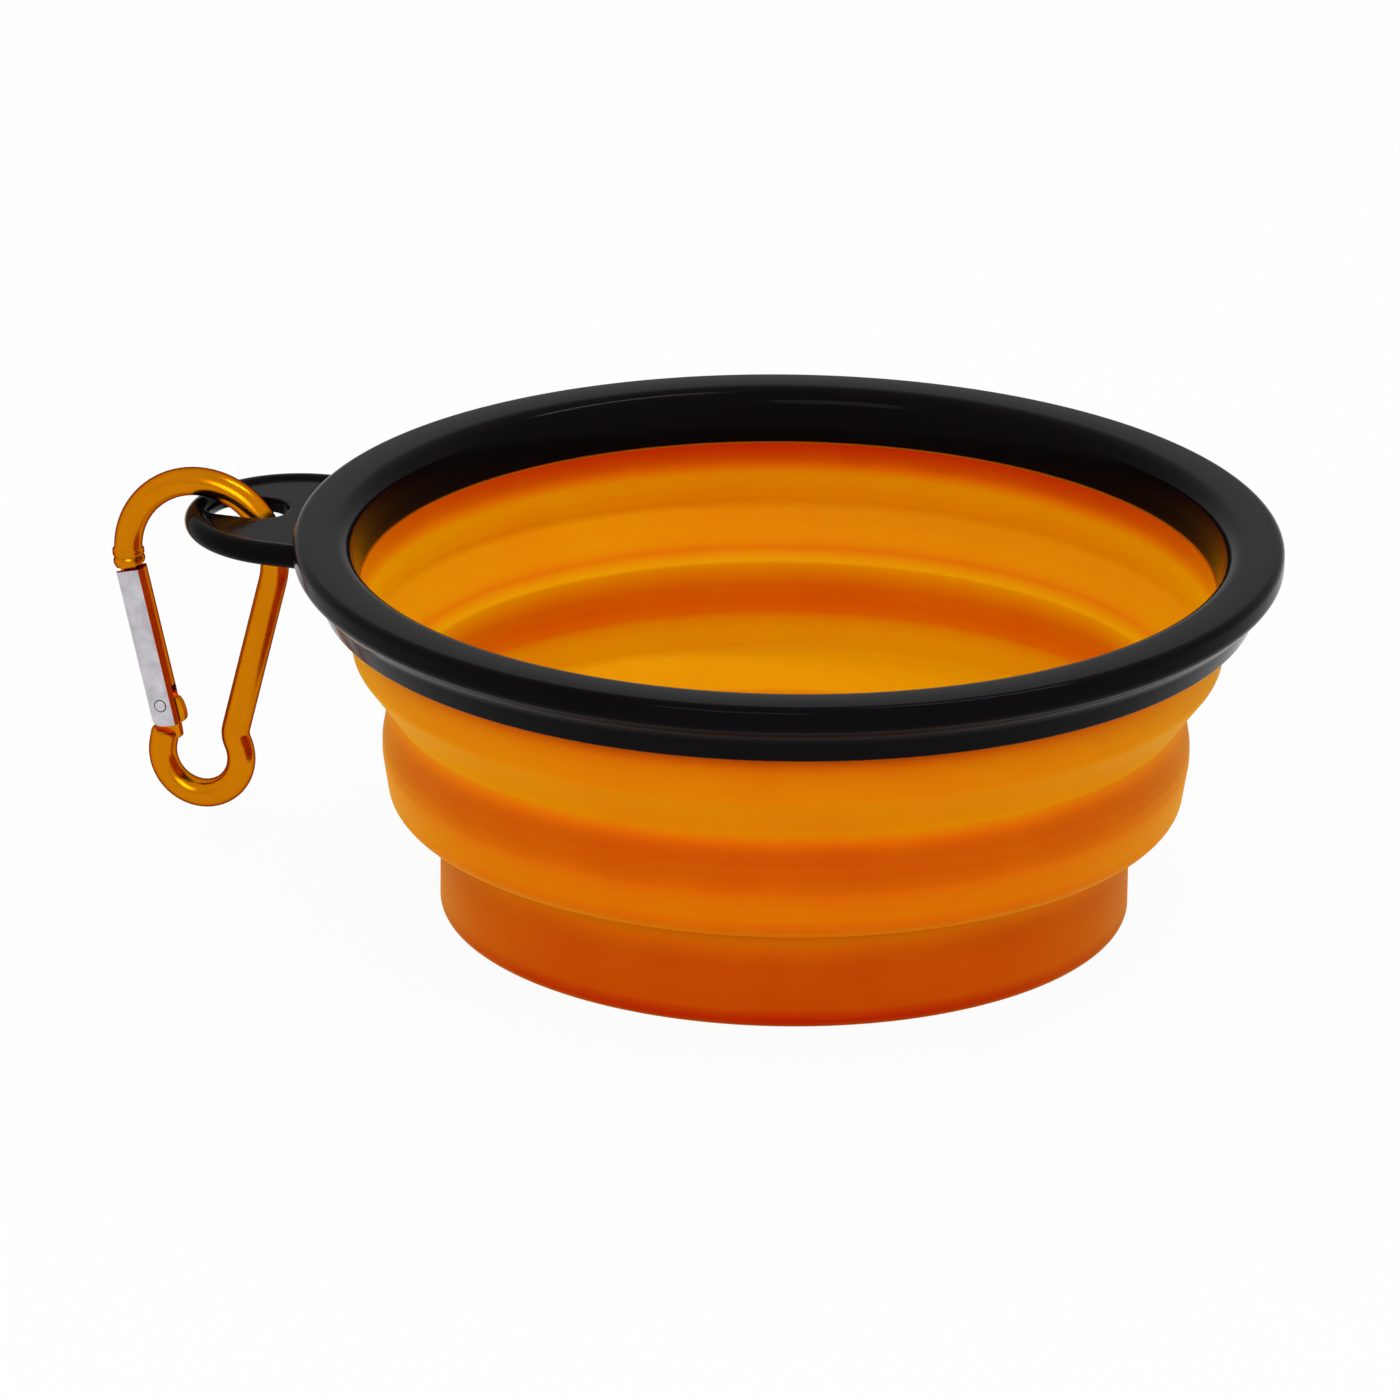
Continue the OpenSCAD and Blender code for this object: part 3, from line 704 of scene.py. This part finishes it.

# %% [markdown]
# Light also scatters inside the silicone. Blender follows it within one object only, and
# the bowl is two, so the line where they meet would show. A second attribute fades the
# scattering out near that line. The colour is partly the silicone's own, deeper where it
# is thick, and partly painted light and shade: it runs from a deep orange of painted shade
# to a gold of painted glow, with a faint sheen for the bloom on new silicone.

# %% Silicone finish
SEAM_EVEN, SEAM_FADE, SCATTER_WEIGHT = 0.4, 1.6, 0.6
# The ramp's colours: a deep orange of painted shade, partly the silicone's own colour, a gold
# of painted glow, and the steps between them.
PAINTED_SHADE_ORANGE, PAINTED_GLOW_GOLD = (0.48, 0.008, 0.0, 1), (0.74, 0.37, 0.0, 1)
ORANGES_BETWEEN = ((0.2, (0.55, 0.045, 0.0, 1)), (0.34, (0.59, 0.094, 0.0, 1)),
                 (0.44, (0.69, 0.129, 0.0, 1)))


def read_note(tree, name):
    """A node that reads a stored value."""
    reader = tree.nodes.new("ShaderNodeAttribute")
    reader.attribute_name = name
    return reader.outputs["Fac"]


def calculate(tree, operation, *values):
    """One sum on sockets and plain numbers."""
    node = tree.nodes.new("ShaderNodeMath")
    node.operation = operation
    for socket, value in zip(node.inputs, values):
        if isinstance(value, bpy.types.NodeSocket):
            tree.links.new(value, socket)
        else:
            socket.default_value = value
    return node.outputs[0]


def depth_at(place, normal):
    """How much light may scatter at a vertex: none at the seam, all a little way off."""
    return min(1.0, max(0.0, abs(place.z - SEAM_Z) - SEAM_EVEN) / SEAM_FADE)


for piece in (silicone_upper, silicone_lower):
    note_on_points(piece, "depth", depth_at)

silicone, tree, shader = new_finish("silicone")
# The ramp paints the light and shade from the glow attribute into the base colour.
ramp = tree.nodes.new("ShaderNodeValToRGB")
ramp.color_ramp.elements[0].color = PAINTED_SHADE_ORANGE
ramp.color_ramp.elements[1].color = PAINTED_GLOW_GOLD
for at, colour in ORANGES_BETWEEN:
    ramp.color_ramp.elements.new(at).color = colour
mottle = spread(tree, noise(tree, scale=90), low=-0.035, high=0.035, start=0.25, end=0.75)
tree.links.new(calculate(tree, "ADD", read_note(tree, "glow"), mottle), ramp.inputs["Fac"])
tree.links.new(ramp.outputs["Color"], shader.inputs["Base Color"])
tree.links.new(spread(tree, read_note(tree, "depth"), 0.0, SCATTER_WEIGHT),
               shader.inputs["Subsurface Weight"])
roughen(tree, shader, scale=900, low=0.42, high=0.52)
press(tree, shader, scale=3500, depth=0.01, strength=0.3, detail=2)
settle(shader, Subsurface_Radius=(1.0, 0.5, 0.1), Subsurface_Scale=2.4 * MM,
       Specular_IOR_Level=0.02, Sheen_Weight=0.6, Sheen_Roughness=0.5,
       Sheen_Tint=(1.0, 0.6, 0.0, 1))
wear(silicone_upper, silicone, "silicone", None, "top_band", "upper_fold_web")
wear(silicone_lower, silicone, "silicone", None, "middle_band", "lower_fold_web", "base_cup")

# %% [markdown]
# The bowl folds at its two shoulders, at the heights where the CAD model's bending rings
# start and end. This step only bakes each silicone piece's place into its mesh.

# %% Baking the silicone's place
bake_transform(silicone_upper)
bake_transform(silicone_lower)
print("The bowl bends at heights from 13.2 to 21.6 mm and from 29.0 to 36.9 mm")

# %% [markdown]
# The rim is hard black plastic with a moulded gloss. A plain dark shader would look cut
# out of paper, so its tone and gloss wander a little, as handling leaves them, over a
# grain finer and shallower than the silicone's. Its highlights are faint on the real
# rim, so the specular level is low.

# %% Rim plastic
def vary_colour(tree, shader, factor, first, second):
    """Lets the colour wander between two tones by a factor."""
    mix = tree.nodes.new("ShaderNodeMix")
    mix.data_type = "RGBA"
    mix.inputs[6].default_value, mix.inputs[7].default_value = (*first, 1), (*second, 1)
    tree.links.new(factor, mix.inputs[0])
    tree.links.new(mix.outputs[2], shader.inputs["Base Color"])


plastic, tree, shader = new_finish("rim_plastic")
vary_colour(tree, shader, noise(tree, scale=40), first=(0.002, 0.0014, 0.0016),
            second=(0.0035, 0.0028, 0.0032))
roughen(tree, shader, scale=300, low=0.11, high=0.16)
press(tree, shader, scale=5000, depth=0.003, strength=0.15, detail=2)
settle(shader, Specular_IOR_Level=0.027, Specular_Tint=(0.9, 0.87, 1.0, 1))
wear(rim, plastic, "rim_plastic", "rim", "rim_ring")

# %% [markdown]
# Anodising dyes the skin of the aluminium, so the rod shines as metal does but in orange.
# A tint on the metal's edge keeps its grazing shine orange too. The gate's cheeks are
# milled after dyeing and show bare metal, with darker smudges from handling.

# %% Anodised and bare aluminium
anodised, tree, shader = new_finish("anodised_orange")
vary_colour(tree, shader, noise(tree, scale=250), first=(0.54, 0.165, 0.001),
            second=(0.63, 0.205, 0.002))
roughen(tree, shader, scale=900, low=0.17, high=0.26)
press(tree, shader, scale=2500, depth=0.01, strength=0.3)
settle(shader, Metallic=1.0, Specular_Tint=(0.12, 0.02, 0.0, 1))

bare, tree, shader = new_finish("bare_aluminium")
smudges = spread(tree, noise(tree, scale=420, detail=5), low=0, high=1, start=0.35, end=0.75)
vary_colour(tree, shader, smudges, first=(0.62, 0.60, 0.64), second=(0.42, 0.40, 0.43))
roughen(tree, shader, scale=700, low=0.35, high=0.5)
press(tree, shader, scale=1800, depth=0.02, strength=0.3, detail=4)
settle(shader, Metallic=1.0)
wear(body, anodised, "anodised_orange", "carabiner", "carabiner_body")
wear(rivet, bare, "rivet_metal", "gate", "gate_rivet")

# %% [markdown]
# The gate has two finishes. It starts anodised all over, and its faces then turn to bare
# metal where they lie on a milled cheek, and along the outer edge of each cheek, where
# the colour has worn off. Faces are told by where they are and which way they look.

# %% Gate's bare cheeks
FACES_SIDEWAYS, CHEEK_REACH = 0.9, 0.05 * MM
TILTED_SIDEWAYS, FACES_OUT = 0.2, 0.5


def is_bare(face):
    """True for a face on a milled cheek or on a cheek's worn outer edge."""
    sideways, from_middle = abs(face.normal.y), abs(face.center.y)
    on_cheek = abs(from_middle - GATE_T / 2 * MM) < CHEEK_REACH and sideways > FACES_SIDEWAYS
    worn_edge = sideways > TILTED_SIDEWAYS and face.normal.dot(gate_out) > FACES_OUT
    return on_cheek or worn_edge


wear(gate, anodised, "bare_aluminium", "gate", "carabiner_gate")
gate.data.materials.append(bare)
for face in gate.data.polygons:
    face.material_index = int(is_bare(face))
print("bare faces on the gate:", sum(face.material_index for face in gate.data.polygons))

# %% [markdown]
# The spring and its plunger are plain bright steel. The spring's top stays with the gate
# and its foot follows the plunger; here the spring's place is only baked into its mesh.
# The CAD plunger is the right shape already, and only gets the finish.

# %% Spring and plunger
steel, tree, shader = new_finish("spring_steel")
roughen(tree, shader, scale=900, low=0.25, high=0.4)
settle(shader, Base_Color=(0.55, 0.55, 0.57, 1), Metallic=1.0)
wear(spring, steel, "spring_steel", None, "gate_spring")
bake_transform(spring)
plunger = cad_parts["gate_plunger"]
plunger.data.materials.clear()
plunger.data.materials.append(steel)
print(plunger.name, "is finished in", steel.name)

# %% [markdown]
# The bowl stands on a plain pale floor. The camera, and the rod's reflections, see the
# floor as almost white through Light Path, so no extra light has to fall on the object
# for it. The rest of the floor's colour is its own, which keeps the bowl's shadow.

# %% Floor
FLOOR_SIZE, WHITE_SHARE = 6, 0.95


def shown_to_eyes(tree):
    """One where a camera, mirror or glass looks, and zero for light that falls on things."""
    path = tree.nodes.new("ShaderNodeLightPath")
    total = path.outputs["Is Camera Ray"]
    for ray in ("Is Glossy Ray", "Is Transmission Ray"):
        total = calculate(tree, "MAXIMUM", total, path.outputs[ray])
    return total


only(None)
bpy.ops.mesh.primitive_plane_add(size=FLOOR_SIZE)
floor = bpy.context.object
floor.name = "floor"
paint, tree, shader = new_finish("floor_paint")
settle(shader, Base_Color=(0.72, 0.72, 0.73, 1), Roughness=0.9)
white = tree.nodes.new("ShaderNodeEmission")
mix = tree.nodes.new("ShaderNodeMixShader")
share = calculate(tree, "MULTIPLY", shown_to_eyes(tree), WHITE_SHARE)
tree.links.new(share, mix.inputs["Fac"])
tree.links.new(shader.outputs[0], mix.inputs[1])
tree.links.new(white.outputs[0], mix.inputs[2])
tree.links.new(mix.outputs[0], tree.nodes["Material Output"].inputs["Surface"])
floor.data.materials.append(paint)
print("floor:", FLOOR_SIZE, "m square")

# %% [markdown]
# The room is white all round, and a little brighter overhead and at the sides, as in a
# light tent. The brightness is worked out from the direction that a ray looks in.

# %% Room
LEVEL_LOW, LEVEL_HIGH, SIDE_LIGHT = 0.72, 0.82, 0.25

world = bpy.data.worlds.new("white_room")
bpy.context.scene.world = world
world.use_nodes = True
tree = world.node_tree
room = tree.nodes["Background"]
place = tree.nodes.new("ShaderNodeTexCoord")
looking = tree.nodes.new("ShaderNodeSeparateXYZ")
tree.links.new(place.outputs["Generated"], looking.inputs["Vector"])
overhead = spread(tree, looking.outputs["Z"], LEVEL_LOW, LEVEL_HIGH)
sideways = calculate(tree, "ABSOLUTE", looking.outputs["X"])
beside = spread(tree, sideways, 0.0, SIDE_LIGHT)
tree.links.new(calculate(tree, "ADD", overhead, beside), room.inputs["Strength"])
room.inputs["Color"].default_value = (1, 1, 1, 1)
print("room: strength", LEVEL_LOW, "level,", LEVEL_HIGH, "overhead, and", SIDE_LIGHT,
      "more at the sides")

# %% [markdown]
# Two soft lamps shape the bowl. The wide one stands in front, as a window would, and
# fills the front of the folds. The narrow one is a strip far overhead, whose reflection
# draws the long streak on the inside of the rim.

# %% Lamps
def soft_lamp(name, place, target, width, height, power):
    """A soft rectangular lamp that points at a target."""
    only(None)
    bpy.ops.object.light_add(type="AREA", location=place)
    lamp = bpy.context.object
    lamp.name = name
    lamp.data.shape, lamp.data.size, lamp.data.size_y = "RECTANGLE", width, height
    lamp.data.energy = power
    lamp.rotation_euler = (Vector(target) - Vector(place)).to_track_quat("-Z", "Y").to_euler()
    print(f"{name}: {power} W at {place} m")


soft_lamp("lamp_front", place=(0.1, -1.4, 0.9), target=(0, 0, 0.03),
          width=0.9, height=0.6, power=7)
soft_lamp("lamp_streak", place=(0.32, 0.30, 1.17), target=(-0.03, 0.04, 0.05),
          width=0.03, height=0.5, power=3)
bpy.context.scene.view_settings.view_transform = "Standard"
only(None)
